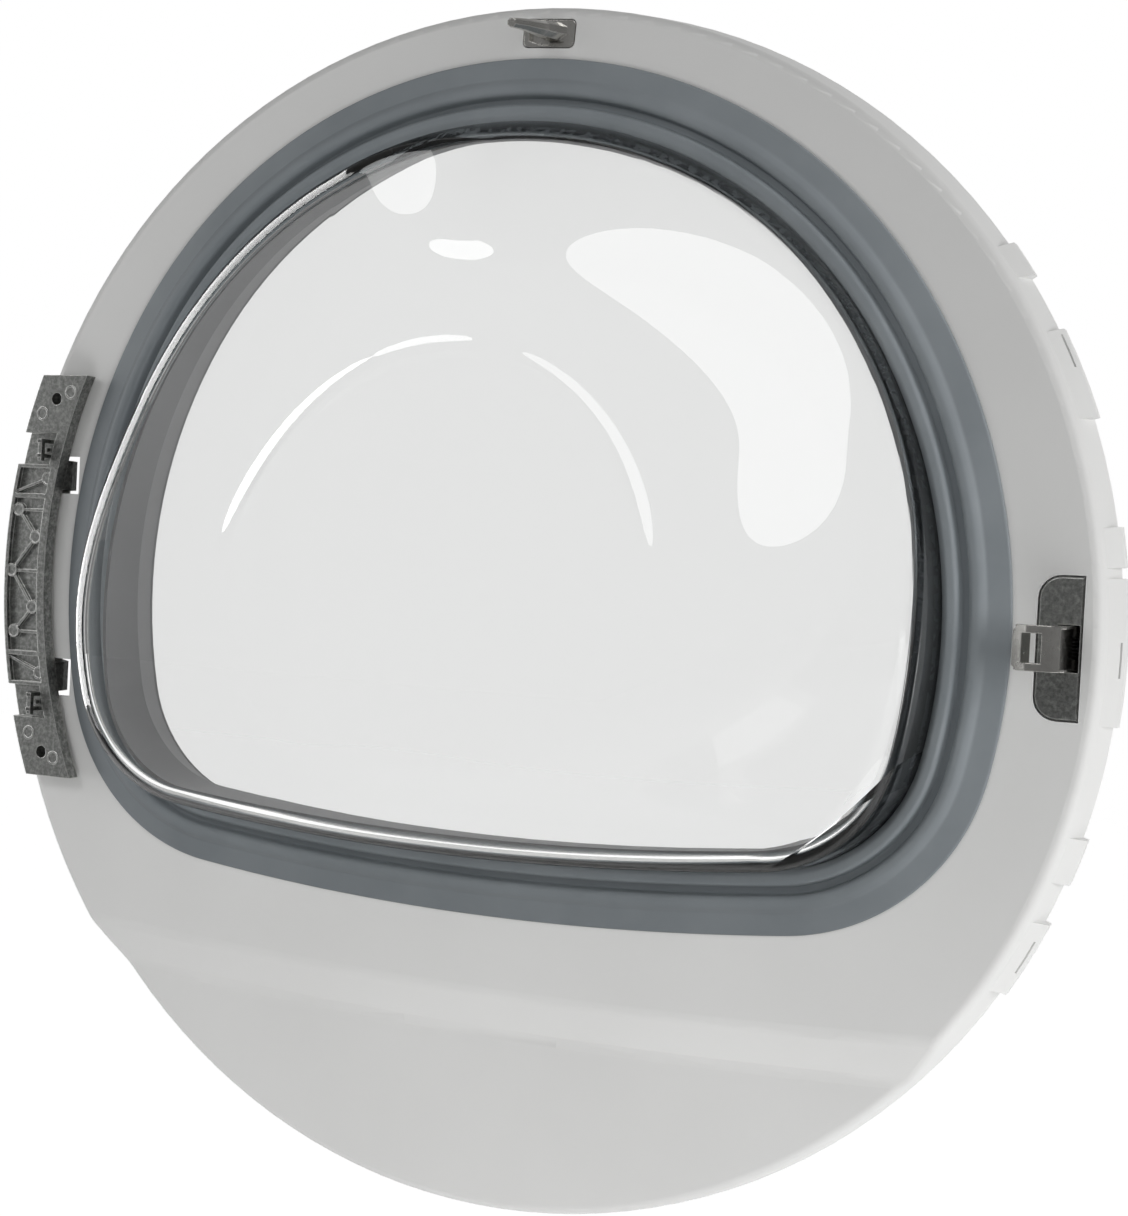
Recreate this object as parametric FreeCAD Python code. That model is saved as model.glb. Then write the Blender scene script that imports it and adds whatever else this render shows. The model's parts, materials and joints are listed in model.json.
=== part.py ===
"""Round laundry door with a D-shaped glass bowl, a two-arm hinge and a sprung catch hook.

All sizes are millimetres. The shapes are drawn about the axis of the round door: +X is the
hinge side, +Y the drum side, +Z up, and y = 0 is the flat rear face. At the end every shape is
moved so that the origin is the middle of the hinge screws on the hinge's seating face.
"""
import FreeCAD
import Part
import math
import os

# Round frame and ring
FACE_R = 240.0
RIM_FLARE = 4.0
RIM_R = FACE_R + RIM_FLARE
FAR = 2.0 * RIM_R
SKIRT_DEPTH = 20.0
WALL = 3.0
EDGE_R = 4.0
PAD_RISE = 2.2
PAD_TOP, PAD_RAMP = -6.0, 9.0
PADS_DEG = ((33.0, 36.3), (19.7, 27.7), (6.9, 10.3), (-6.4, 6.0), (-20.3, -16.2), (-31.2, -24.1))
PAD_SLITS_DEG = ((24.2, 27.2), (-2.3, 0.7), (-29.0, -25.8))
PAD_SLIT_Y, PAD_SLIT_H, PAD_SLIT_DEPTH = -13.0, 1.0, 3.0
RING_DEPTH = 44.5
CREST_R = RIM_R - 26.0
LIP_R = FACE_R - 41.0
LIP_T = 3.0
PANE_R = LIP_R + 7.0
SPIGOT_H = 5.5
SPIGOT_T = 2.0

# D outline of the seal, symmetric arcs: crown, sides, corners, foot
CROWN_R, CROWN_Z = FACE_R - 35.0, 15.0
CROWN_DEG = 58.0
SIDE_R = CROWN_R + 25.0
CORNER_R = 0.41 * CROWN_R
FOOT_R, FOOT_Z = 1115.0, -0.50625 * FACE_R

# Stepped lower panel
STEP_Z = FOOT_Z - 31.1
STEP_DROP = 11.0
STEP_RUN = 18.0
STEP_ARC_R = 2550.0
STEP_SOFT = 9.0

# Seal, glass and tunnel; offsets are measured inwards from the D outline
FACE_HOLE_IN = 10.0
FLANGE_IN = 12.0
WALL_IN = 24.6
FLANGE_TOP, FLANGE_BOTTOM = -4.0, -9.0
GLASS_T, GLASS_BASE_T = 5.0, 5.5
DRAFT, DRAFT_IN = 0.07, 0.05
SHOULDER_R, SHOULDER_IN_R = 11.0, 7.0
NOSE_CROSS_R = 2600.0
TUNNEL_T = 2.5
TUNNEL_END = -28.0
THROAT_T, THROAT_GAP = 1.6, 0.4
THROAT_TOP, THROAT_SLANT = 13.5, 0.066
CLAMP_T = 3.0
CLAMP_OUT_IN = -1.0
TRIM_T = 1.5
PANE_T = 3.5

# Nose of the bowl: height, and place up the door as a share of FACE_R
NOSE_SHARES = ((28.0, -0.479), (37.6, -0.325), (41.0, -0.1875), (41.5, -0.054), (35.5, 0.104),
               (26.5, 0.2625), (21.0, 0.4125), (17.0, 0.546), (13.8, 0.667), (11.8, 0.792), (11.0, 0.896))
NOSE_YZ = [(y, share * FACE_R) for y, share in NOSE_SHARES]
NOSE_TOP = max(y for y, _ in NOSE_YZ)

# Screws
SCREW_R, SCREW_HEAD_R, SCREW_HEAD_H = 1.9, 3.6, 2.4
RECESS_L, RECESS_W, RECESS_D = 3.6, 0.8, 1.1
BOSS_R = 4.5
BOSS_IN = 4.5
CLAMP_SCREWS = (("crown", 62.0), ("crown", 90.0), ("crown", 118.0), ("side", 17.0), ("side_l", 163.0),
                ("corner", -40.0), ("corner_l", 220.0), ("foot", -94.5), ("foot", -85.5))
PILOT_END = -1.2

# Hinge leaf: places up the leaf are measured from its middle
HINGE_Z = 4.0
PIVOT_X, PIVOT_Y = FACE_R - 11.0, -13.0
LEAF_OUT_R, LEAF_W = FACE_R - 1.0, 22.0
LEAF_IN_R = LEAF_OUT_R - LEAF_W
LEAF_BACK, LEAF_SEAT = 2.0, 8.0
LEAF_HALF_H = 88.5
LEAF_FLOOR = 4.0
LEAF_WALL = 1.6
RIB_T, RIB_LOW = 1.2, 0.5
EJECTOR_R, EJECTOR_RING, EJECTOR_RISE = 3.0, 0.7, 0.25
HINGE_SCREW_DZ, HINGE_SCREW_R = LEAF_HALF_H - 10.5, 2.7
HOOK_DZ, WELL_HALF = 56.0, 7.0
ARM_DZ, ARM_HALF = 45.0, 6.5
KNOTS = ((42.8, 0.22), (28.7, 0.80), (16.7, 0.30), (1.6, 0.84), (-14.4, 0.30), (-25.4, 0.78), (-43.3, 0.22))
MARKS = ((80.9, 0.22), (71.5, 0.72), (-70.0, 0.70), (-80.2, 0.25))
POCKETS = ((-34.0, 34.0), (36.0, 47.5), (-47.5, -36.0))
SPOKES = ((28.7, 0.80), (1.6, 0.84), (-25.4, 0.78))
GUSSETS = (((36.8, 0.93), (42.8, 0.22)), ((-36.8, 0.93), (-43.3, 0.22)))

# Hinge joint
EYE_R, BUSH_R, PIN_R = 7.0, 4.5, 3.0
PIN_GAP = 0.05
BUSH_FLANGE, BUSH_RIM = 2.0, 1.5
SLOT_GAP = 1.8
SLOT_IN_X = PIVOT_X - 22.6
SIGHT_GAP = 3.0
BEARING_HALF = ARM_DZ - ARM_HALF - BUSH_FLANGE
BEARING_BASE_HALF = BEARING_HALF - 3.5
BASE_IN_X, BASE_OUT_X = PIVOT_X - 18.0, PIVOT_X - 3.0
SPINE_T, SPINE_H = 3.5, 5.0
LUG_LEN, LUG_R = 13.5, 4.4
BEARING_SEAT, BEARING_T = -9.0, 3.5
BEARING_SCREW_X, BEARING_SCREW_DZ = PIVOT_X - 12.0, (14.0, 28.0)
SWING_DEG = 105.0
SWING_GAP = 0.6

# Lock plate and hook
LOCK_X0, LOCK_HALF_H = 7.0 - FACE_R, 25.5
LOCK_X1 = LOCK_X0 + 15.5
LOCK_CORNER_R = 8.0
LOCK_T = 3.0
LOCK_BEVEL = 0.6
LOCK_GAP = 0.4
PAD_T = 3.0
HOOK_PIVOT_X, HOOK_PIVOT_Y = LOCK_X0 + 6.0, -11.0
HOOK_OUT_X, HOOK_T, HOOK_HALF = HOOK_PIVOT_X - 1.8, 4.0, 8.0
HOOK_TOP, HOOK_NOSE_X, HOOK_HEAD_T = 19.0, HOOK_OUT_X + 16.3, 6.0
HOOK_HOLE_X0, HOOK_HOLE_X1, HOOK_HOLE_HALF = HOOK_OUT_X + 6.0, HOOK_OUT_X + 11.0, 5.2
HOOK_BEVEL, HOOK_CORNER = 2.4, 1.8
CLAW_T, CLAW_L = 2.0, 3.0
CHANNEL_T, CHANNEL_RISE, CHANNEL_Y0 = 1.0, 1.2, -2.0
HOOK_WINDOW_X0, HOOK_WINDOW_X1 = LOCK_X0 + 0.6, LOCK_X0 + 8.6
HOOK_SIDE_GAP = 0.4
HOOK_EYE_R, LOCK_PIN_R, LOCK_PIN_GAP = 4.2, 2.0, 0.05
LUG_T = 3.0
COIL_R, WIRE_R, COIL_TURNS, COIL_PITCH = 3.1, 0.5, 5, 1.25
COIL_ROOM = 0.8
LOCK_SCREW_Z = 20.0

# Switch peg
PEG_X0, PEG_W = -25.0, 22.0
PEG_X1 = PEG_X0 + PEG_W
PEG_Z1, PEG_H = FACE_R - 5.2, 10.8
PEG_Z0 = PEG_Z1 - PEG_H
PEG_CORNER_R = 2.0
PEG_TURN = 4.0
PEG_RISE, PEG_LEAN_X, PEG_LEAN_Z = 21.5, 5.0, -1.5
PEG_POCKET = ((0.10, 0.62), (0.10, 0.28), (0.34, 0.10), (0.76, 0.10), (0.78, 0.18))
PEG_POCKET_D = 1.8


def vec(x, y, z):
    return FreeCAD.Vector(x, y, z)


def box(x0, x1, y0, y1, z0, z1):
    return Part.makeBox(x1 - x0, y1 - y0, z1 - z0, vec(x0, y0, z0))


def rod_y(r, y0, y1, x=0.0, z=0.0):
    return Part.makeCylinder(r, y1 - y0, vec(x, y0, z), vec(0, 1, 0))


def rod_z(r, z0, z1, x, y):
    return Part.makeCylinder(r, z1 - z0, vec(x, y, z0), vec(0, 0, 1))


def face_of(points):
    return Part.Face(Part.makePolygon(points + [points[0]]))


def prism_y(points_xz, y0, y1):
    return face_of([vec(x, y0, z) for x, z in points_xz]).extrude(vec(0, y1 - y0, 0))


def prism_z(points_xy, z0, z1):
    return face_of([vec(x, y, z0) for x, y in points_xy]).extrude(vec(0, 0, z1 - z0))


def turned(points_ry):
    return face_of([vec(r, y, 0) for r, y in points_ry]).revolve(vec(0, 0, 0), vec(0, 1, 0), 360)


def fused(shapes):
    body = shapes[0]
    for other in shapes[1:]:
        body = body.fuse(other)
    return body.removeSplitter()


def rim_radius(y):
    return FACE_R + (RIM_R - FACE_R) * min(1.0, -y / SKIRT_DEPTH)


def d_arcs():
    """The D outline as named arcs: centre x, centre z, radius, first angle, last angle."""
    turn = math.radians(90.0 - CROWN_DEG)
    side_x = (CROWN_R - SIDE_R) * math.cos(turn)
    side_z = CROWN_Z + (CROWN_R - SIDE_R) * math.sin(turn)
    foot_z = FOOT_Z + FOOT_R
    near, far = SIDE_R - CORNER_R, FOOT_R - CORNER_R
    dx, dz = -side_x, foot_z - side_z
    length = math.hypot(dx, dz)
    along = (near * near - far * far + length * length) / (2.0 * length)
    across = math.sqrt(near * near - along * along)
    corner_x = side_x + along * dx / length + across * dz / length
    corner_z = side_z + along * dz / length - across * dx / length
    a_side = math.degrees(math.atan2(corner_z - side_z, corner_x - side_x))
    a_foot = math.degrees(math.atan2(corner_z - foot_z, corner_x))
    a_crown = 90.0 - CROWN_DEG
    return {
        "foot": (0.0, foot_z, FOOT_R, -180.0 - a_foot, a_foot),
        "corner": (corner_x, corner_z, CORNER_R, a_foot, a_side),
        "side": (side_x, side_z, SIDE_R, a_side, a_crown),
        "crown": (0.0, CROWN_Z, CROWN_R, a_crown, 180.0 - a_crown),
        "side_l": (-side_x, side_z, SIDE_R, 180.0 - a_crown, 180.0 - a_side),
        "corner_l": (-corner_x, corner_z, CORNER_R, 180.0 - a_side, 180.0 - a_foot),
    }


ARCS = d_arcs()


def d_point(arc, degrees, inwards):
    cx, cz, r, _, _ = ARCS[arc]
    a = math.radians(degrees)
    return cx + (r - inwards) * math.cos(a), cz + (r - inwards) * math.sin(a)


def d_wire(inwards, y):
    edges = []
    for name, (_, _, _, a0, a1) in ARCS.items():
        pts = [vec(x, y, z) for x, z in (d_point(name, a, inwards) for a in (a0, (a0 + a1) / 2, a1))]
        edges.append(Part.Arc(*pts).toShape())
    return Part.Wire(edges)


def d_block(inwards, y0, y1):
    return Part.Face(d_wire(inwards, y0)).extrude(vec(0, y1 - y0, 0))


def d_sweep(section):
    """Sweeps a section of (inwards, y) points once round the D outline."""
    parts = []
    for name, (cx, cz, r, a0, a1) in ARCS.items():
        a = math.radians(a0)
        pts = [vec(cx + (r - s) * math.cos(a), y, cz + (r - s) * math.sin(a)) for s, y in section]
        parts.append(face_of(pts).revolve(vec(cx, 0, cz), vec(0, -1, 0), a1 - a0))
    return fused(parts)


def step_cutter(drop):
    """Everything on the drum side of the stepped lower panel, lowered by drop."""
    z_axis = STEP_Z + STEP_ARC_R
    r0, r1 = STEP_ARC_R, STEP_ARC_R + STEP_RUN
    slope = math.atan2(STEP_DROP, STEP_RUN)
    soft = STEP_SOFT * math.tan(slope / 2.0)
    c, s = math.cos(slope), math.sin(slope)

    def point(r, y):
        return vec(0, y - drop, z_axis - r)

    def bend(r, y, first):
        before = (r - soft, y) if first else (r - soft * c, y + soft * s)
        after = (r + soft * c, y - soft * s) if first else (r + soft, y)
        chord = ((before[0] + after[0]) / 2, (before[1] + after[1]) / 2)
        toward = (r - chord[0], y - chord[1])
        size = math.hypot(*toward)
        sag = STEP_SOFT * (1.0 - math.cos(slope / 2.0))
        middle = (chord[0] + toward[0] * sag / size, chord[1] + toward[1] * sag / size)
        return before, middle, after

    a0, a1, a2 = bend(r0, 0.0, True)
    b0, b1, b2 = bend(r1, -STEP_DROP, False)
    high, low = 20.0, 130.0
    edges = [
        Part.Arc(point(*a0), point(*a1), point(*a2)).toShape(),
        Part.LineSegment(point(*a2), point(*b0)).toShape(),
        Part.Arc(point(*b0), point(*b1), point(*b2)).toShape(),
        Part.LineSegment(point(*b2), point(r1 + low, -STEP_DROP)).toShape(),
        Part.LineSegment(point(r1 + low, -STEP_DROP), point(r1 + low, high)).toShape(),
        Part.LineSegment(point(r1 + low, high), point(a0[0], high)).toShape(),
        Part.LineSegment(point(a0[0], high), point(*a0)).toShape(),
    ]
    face = Part.Face(Part.Wire(edges))
    face.rotate(vec(0, 0, z_axis), vec(0, 1, 0), -7.0)
    return face.revolve(vec(0, 0, z_axis), vec(0, 1, 0), 14.0)


def swing_relief():
    """Room that the hinge leaf sweeps beside the rim while the door opens."""
    r = LEAF_BACK - PIVOT_Y - SWING_GAP
    end = math.radians(90.0 - SWING_DEG)
    c, s = math.cos(end), math.sin(end)
    top = vec(PIVOT_X, PIVOT_Y + r, 0)
    mid = vec(PIVOT_X + r * math.cos(math.pi / 4 + end / 2), PIVOT_Y + r * math.sin(math.pi / 4 + end / 2), 0)
    low = vec(PIVOT_X + r * c, PIVOT_Y + r * s, 0)
    tail = low + vec(s * 30.0, -c * 30.0, 0)
    out_x = PIVOT_X + 40.0
    edges = [
        Part.Arc(top, mid, low).toShape(),
        Part.LineSegment(low, tail).toShape(),
        Part.LineSegment(tail, vec(out_x, tail.y, 0)).toShape(),
        Part.LineSegment(vec(out_x, tail.y, 0), vec(out_x, top.y, 0)).toShape(),
        Part.LineSegment(vec(out_x, top.y, 0), top).toShape(),
    ]
    solid = Part.Face(Part.Wire(edges)).extrude(vec(0, 0, 2 * LEAF_HALF_H + 8.0))
    solid.translate(vec(0, 0, HINGE_Z - LEAF_HALF_H - 4.0))
    return solid


def sector(r0, r1, y0, y1, a0, a1):
    """Part of a ring about the door axis between two angles from +X towards +Z."""
    pts = [vec(r0, y0, 0), vec(r1, y0, 0), vec(r1, y1, 0), vec(r0, y1, 0)]
    face = face_of(pts)
    face.rotate(vec(0, 0, 0), vec(0, -1, 0), a0)
    return face.revolve(vec(0, 0, 0), vec(0, -1, 0), a1 - a0)


def screw(x, z, seat, end):
    """Pan head screw driven from the room side: head below seat, shank up to end."""
    head = rod_y(SCREW_HEAD_R, seat - SCREW_HEAD_H, seat, x, z)
    shank = rod_y(SCREW_R, seat, end, x, z)
    y0, l, w = seat - SCREW_HEAD_H, RECESS_L / 2, RECESS_W / 2
    recess = box(x - l, x + l, y0, y0 + RECESS_D, z - w, z + w)
    cross = box(x - w, x + w, y0, y0 + RECESS_D, z - l, z + l)
    return head.fuse(shank).cut(recess).cut(cross)


def clamp_screw_points():
    return [d_point(name, angle, BOSS_IN) for name, angle in CLAMP_SCREWS]


def bearing_screw_points():
    return [(BEARING_SCREW_X, HINGE_Z + side * dz) for dz in BEARING_SCREW_DZ for side in (-1, 1)]


def lock_outline(gap):
    """Lock plate outline: straight outer edge, two rounded inner corners."""
    x0, x1, h, r = LOCK_X0 - gap, LOCK_X1 + gap, LOCK_HALF_H + gap, LOCK_CORNER_R + gap
    pts = [(x0, -h), (x1 - r, -h)]
    for i in range(1, 7):
        a = math.radians(-90.0 + 15.0 * i)
        pts.append((x1 - r + r * math.cos(a), -h + r + r * math.sin(a)))
    for i in range(0, 7):
        a = math.radians(15.0 * i)
        pts.append((x1 - r + r * math.cos(a), h - r + r * math.sin(a)))
    return pts + [(x0, h)]


def peg_outline(gap):
    x0, x1, z0, z1 = PEG_X0 - gap, PEG_X1 + gap, PEG_Z0 - gap, PEG_Z1 + gap
    r = PEG_CORNER_R + gap
    pts = []
    corners = ((x1 - r, z1 - r, 0), (x0 + r, z1 - r, 90), (x0 + r, z0 + r, 180), (x1 - r, z0 + r, 270))
    for cx, cz, start in corners:
        for i in range(0, 5):
            a = math.radians(start + 22.5 * i)
            pts.append((cx + r * math.cos(a), cz + r * math.sin(a)))
    mid_x, mid_z = (PEG_X0 + PEG_X1) / 2, (PEG_Z0 + PEG_Z1) / 2
    c, s = math.cos(math.radians(PEG_TURN)), math.sin(math.radians(PEG_TURN))
    turned_pts = []
    for x, z in pts:
        dx, dz = x - mid_x, z - mid_z
        turned_pts.append((mid_x + c * dx - s * dz, mid_z + s * dx + c * dz))
    return turned_pts


def inner_frame():
    tall = SKIRT_DEPTH
    outer = turned([(0, 0), (FACE_R, 0), (RIM_R, -tall), (0, -tall)]).cut(step_cutter(0.0))
    rim = [e for e in outer.Edges if on_rear_rim(e)]
    outer = outer.makeFillet(EDGE_R, rim)
    hollow_r = rim_radius(-WALL) - WALL
    hollow = turned([(0, -WALL), (hollow_r, -WALL), (RIM_R - WALL, -tall), (0, -tall)])
    shell = outer.cut(hollow.cut(step_cutter(WALL)))
    shell = shell.cut(d_block(FACE_HOLE_IN, -tall - 1, 5.0))
    adds = [rod_y(BOSS_R, FLANGE_BOTTOM, -WALL + 0.5, x, z) for x, z in clamp_screw_points()]
    adds += [rod_y(BOSS_R, BEARING_SEAT, -WALL + 0.5, x, z) for x, z in bearing_screw_points()]
    adds.append(prism_y(lock_outline(2.5), -LOCK_T - PAD_T, -LOCK_T + 0.5))
    adds.append(prism_y(peg_outline(2.0), -LOCK_T - PAD_T, -LOCK_T + 0.5))
    shell = fused([shell] + adds)
    for x, z in clamp_screw_points() + bearing_screw_points():
        shell = shell.cut(rod_y(SCREW_R, -tall, PILOT_END, x, z))
    shell = shell.cut(prism_y(lock_outline(LOCK_GAP), -LOCK_T, 5.0))
    reach = HOOK_HALF + HOOK_SIDE_GAP + LUG_T + 1.6
    shell = shell.cut(box(HOOK_WINDOW_X0 - 0.4, HOOK_WINDOW_X1 + 2.1, -9, 0, -reach, reach))
    shell = shell.cut(prism_y(peg_outline(LOCK_GAP), -LOCK_T, 5.0))
    for x, z in lock_screw_points() + [peg_screw_point()]:
        shell = shell.cut(rod_y(SCREW_R, -9, 0, x, z))
    for side in (-1, 1):
        z = HINGE_Z + side * ARM_DZ
        half = ARM_HALF + SLOT_GAP
        shell = shell.cut(box(SLOT_IN_X, FAR, -tall - 1, 5, z - half, z + half))
    return shell.cut(swing_relief())


def on_rear_rim(edge):
    """True for the outer edge of the flat face, the step band and the lower panel."""
    for v in edge.Vertexes:
        r = math.hypot(v.X, v.Z)
        if v.Y < -STEP_DROP - 0.5 or abs(r - rim_radius(v.Y)) > 0.3:
            return False
    mid = edge.valueAt((edge.FirstParameter + edge.LastParameter) / 2)
    return abs(math.hypot(mid.x, mid.z) - rim_radius(mid.y)) < 0.3 and mid.y > -STEP_DROP - 0.5


def outer_ring():
    d = SKIRT_DEPTH
    back = -RING_DEPTH
    seat = TUNNEL_END - TRIM_T - PANE_T
    profile = [(RIM_R - WALL, -d), (RIM_R, -d), (RIM_R - 0.8, -d - 7), (RIM_R - 3.2, -d - 14),
               (RIM_R - 8.5, -d - 19.5), (RIM_R - 16.5, -d - 23.3), (CREST_R, back),
               (CREST_R - 8, back + 1.2), (LIP_R + 3, seat - LIP_T - 1.5), (LIP_R, seat - LIP_T),
               (LIP_R, seat), (PANE_R, seat),
               (PANE_R, TUNNEL_END), (PANE_R + 2.4, TUNNEL_END), (PANE_R + 5, back + 6), (CREST_R, back + 3),
               (RIM_R - 17.5, -d - 20.2), (RIM_R - 10.5, -d - 17), (RIM_R - 6, -d - 12.5), (RIM_R - 5.2, -d),
               (rim_radius(-d + SPIGOT_H) - WALL - SPIGOT_T, -d + SPIGOT_H),
               (rim_radius(-d + SPIGOT_H) - WALL, -d + SPIGOT_H)]
    ring = turned(profile)
    for side in (-1, 1):
        z = HINGE_Z + side * ARM_DZ
        half = ARM_HALF + SLOT_GAP + SIGHT_GAP
        ring = ring.cut(box(CREST_R + 4, FAR, back + 3, 0, z - half, z + half))
    ring = ring.cut(swing_relief())
    ring = ring.cut(box(LOCK_X0 - 20, LOCK_X1 + 5, -d, 0, -LOCK_HALF_H - 4, LOCK_HALF_H + 4))
    return ring.cut(box(PEG_X0 - 5, PEG_X1 + 5, -d, 0, PEG_Z0 - 5, PEG_Z1 + 15))


def clip_pads():
    """Raised clip pads on the skirt edge of the lock side, ramped towards the face."""
    over = RIM_R + PAD_RISE
    ramp = turned([(rim_radius(PAD_TOP) - 0.3, PAD_TOP + 0.5), (over + 0.1, PAD_TOP - PAD_RAMP),
                   (over + 5.0, PAD_TOP - PAD_RAMP), (over + 5.0, PAD_TOP + 0.5)])
    pads = []
    for a0, a1 in PADS_DEG:
        pad = sector(RIM_R - WALL + 0.1, over, -SKIRT_DEPTH, PAD_TOP, 180.0 - a1, 180.0 - a0)
        pads.append(pad.cut(ramp))
    return pads


def clip_slits():
    """Thin slits in the long pads, where the clips are pressed free."""
    y0, y1 = PAD_SLIT_Y, PAD_SLIT_Y + PAD_SLIT_H
    r0, r1 = RIM_R + PAD_RISE - PAD_SLIT_DEPTH, RIM_R + PAD_RISE + 2.0
    return [sector(r0, r1, y0, y1, 180.0 - a1, 180.0 - a0) for a0, a1 in PAD_SLITS_DEG]


def door_seal():
    inner_low = WALL_IN
    inner_high = WALL_IN + DRAFT * (2.5 - FLANGE_TOP)
    section = [(0.0, 0.0), (0.0, 0.5), (0.6, 1.1), (8.6, 2.2), (9.8, 3.3), (11.4, 4.1), (13.6, 4.0),
               (14.8, 3.0), (15.2, 1.6), (15.4, -1.8), (18.4, -1.8), (18.8, 3.4), (19.8, 4.6), (23.0, 4.4),
               (inner_high, 2.5), (inner_low, FLANGE_TOP), (FACE_HOLE_IN, FLANGE_TOP), (FACE_HOLE_IN, 0.0)]
    return d_sweep(section)


def nose_body(drop):
    """Everything on the room side of the bowl's nose, lowered by drop."""
    pts = [vec(0, y - drop, z) for y, z in NOSE_YZ]
    curve = Part.BSplineCurve()
    curve.interpolate(pts)
    first, last = pts[0], pts[-1]
    low = -40.0
    edges = [
        curve.toShape(),
        Part.LineSegment(last, vec(0, low, last.z)).toShape(),
        Part.LineSegment(vec(0, low, last.z), vec(0, low, first.z)).toShape(),
        Part.LineSegment(vec(0, low, first.z), first).toShape(),
    ]
    axis = vec(0, NOSE_TOP - NOSE_CROSS_R, 0)
    half = math.degrees(math.asin(CROWN_R / NOSE_CROSS_R))
    face = Part.Face(Part.Wire(edges))
    face.rotate(axis, vec(0, 0, 1), -half)
    return face.revolve(axis, vec(0, 0, 1), 2 * half)


def bowl_form(inset, draft, drop, start, round_r):
    top = NOSE_TOP + 17.0
    at_start = WALL_IN + inset + draft * (start - FLANGE_TOP)
    at_top = WALL_IN + inset + draft * (top - FLANGE_TOP)
    cone = Part.makeLoft([d_wire(at_start, start), d_wire(at_top, top)], True, True)
    form = cone.common(nose_body(drop))
    rim = [e for e in form.Edges if is_rim(e, start)]
    return form.makeFillet(round_r, rim)


def is_rim(edge, start):
    """True for the edge loop where the bowl's side wall meets its nose."""
    a, b = edge.FirstParameter, edge.LastParameter
    ys = [edge.valueAt(a + (b - a) * t).y for t in (0.02, 0.5, 0.98)]
    return min(ys) > start + 4.0 and edge.Length > 20.0


def glass_bowl():
    outer = bowl_form(0.0, DRAFT, 0.0, FLANGE_TOP, SHOULDER_R)
    flange = d_block(FLANGE_IN, FLANGE_BOTTOM, FLANGE_TOP)
    hollow = bowl_form(GLASS_BASE_T, DRAFT_IN, GLASS_T, FLANGE_BOTTOM - 1.0, SHOULDER_IN_R)
    return outer.fuse(flange).removeSplitter().cut(hollow)


def glass_retainer():
    """Clamp ring behind the glass, with a funnel that lines the bowl's wall and ends on a slant."""
    low, tall = FLANGE_BOTTOM, THROAT_TOP + 12.0
    tube_in = WALL_IN
    near = WALL_IN + GLASS_BASE_T + THROAT_GAP + DRAFT_IN * (low - FLANGE_TOP)
    far = WALL_IN + GLASS_BASE_T + THROAT_GAP + DRAFT_IN * (tall - FLANGE_TOP)
    section = [(CLAMP_OUT_IN, low), (CLAMP_OUT_IN, low - CLAMP_T), (tube_in - TUNNEL_T, low - CLAMP_T),
               (tube_in - TUNNEL_T, TUNNEL_END), (tube_in, TUNNEL_END), (near + THROAT_T, low),
               (far + THROAT_T, tall), (far, tall), (near, low)]
    ring = d_sweep(section)
    top = [vec(-FAR, THROAT_TOP - THROAT_SLANT * z, z) for z in (-FACE_R, FACE_R)]
    top += [vec(-FAR, FAR, FACE_R), vec(-FAR, FAR, -FACE_R)]
    ring = ring.cut(face_of(top).extrude(vec(2 * FAR, 0, 0)))
    for x, z in clamp_screw_points():
        ring = ring.cut(rod_y(SCREW_R, low - CLAMP_T - 1, low + 1, x, z))
    for side in (-1, 1):
        z = HINGE_Z + side * ARM_DZ
        half = ARM_HALF + SLOT_GAP + 1.0
        ring = ring.cut(box(SLOT_IN_X, FACE_R, low - CLAMP_T - 1, low + 1, z - half, z + half))
    return ring


def window_trim():
    return rod_y(PANE_R, TUNNEL_END - TRIM_T, TUNNEL_END).cut(d_block(WALL_IN, -40, 0))


def window_pane():
    return rod_y(PANE_R, TUNNEL_END - TRIM_T - PANE_T, TUNNEL_END - TRIM_T)


def retainer_screws():
    seat = FLANGE_BOTTOM - CLAMP_T
    return Part.makeCompound([screw(x, z, seat, PILOT_END) for x, z in clamp_screw_points()])


def leaf_sector(r0, r1, y0, y1, half_h):
    """Curved bar about the door axis with level ends."""
    bar = sector(r0, r1, y0, y1, -30.0, 30.0)
    bar.translate(vec(0, 0, HINGE_Z))
    return bar.common(box(0, FAR, y0, y1, HINGE_Z - half_h, HINGE_Z + half_h))


def leaf_x(r, dz):
    return math.sqrt(r * r - dz * dz)


def rib(p0, p1, y0, y1):
    """Thin straight wall between two points (x, z)."""
    dx, dz = p1[0] - p0[0], p1[1] - p0[1]
    n = math.hypot(dx, dz)
    ox, oz = -dz / n * RIB_T / 2, dx / n * RIB_T / 2
    corners = [(p0[0] + ox, p0[1] + oz), (p1[0] + ox, p1[1] + oz),
               (p1[0] - ox, p1[1] - oz), (p0[0] - ox, p0[1] - oz)]
    return prism_y(corners, y0, y1)


def leaf_point(dz, share):
    """Point of the leaf at a height from its middle and a share of the way out across it."""
    return leaf_x(LEAF_IN_R + share * LEAF_W, dz), HINGE_Z + dz


def hinge_arm(side):
    """Lug from the leaf through the slot in the face to the eye on the hinge axis."""
    zc = HINGE_Z + side * ARM_DZ
    z0, z1 = zc - ARM_HALF, zc + ARM_HALF
    p, q, e = PIVOT_X, PIVOT_Y, EYE_R
    root = leaf_x(LEAF_IN_R, ARM_DZ) + 2.0
    outline = [(p - 1.0, LEAF_BACK + 2.0), (p - 1.0, LEAF_BACK), (p + e * 0.94, q + e * 0.35),
               (p + e * 0.7, q - e * 0.7), (p, q - e), (p - e * 0.75, q - e * 0.66), (root + 3.0, q + 1.0),
               (root + 0.8, q + 7.0), (root, LEAF_BACK), (root + 1.0, LEAF_BACK + 2.0)]
    arm = prism_z(outline, z0, z1).fuse(rod_z(e, z0, z1, p, q))
    return arm.cut(rod_z(BUSH_R, z0 - 1, z1 + 1, p, q))


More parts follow.
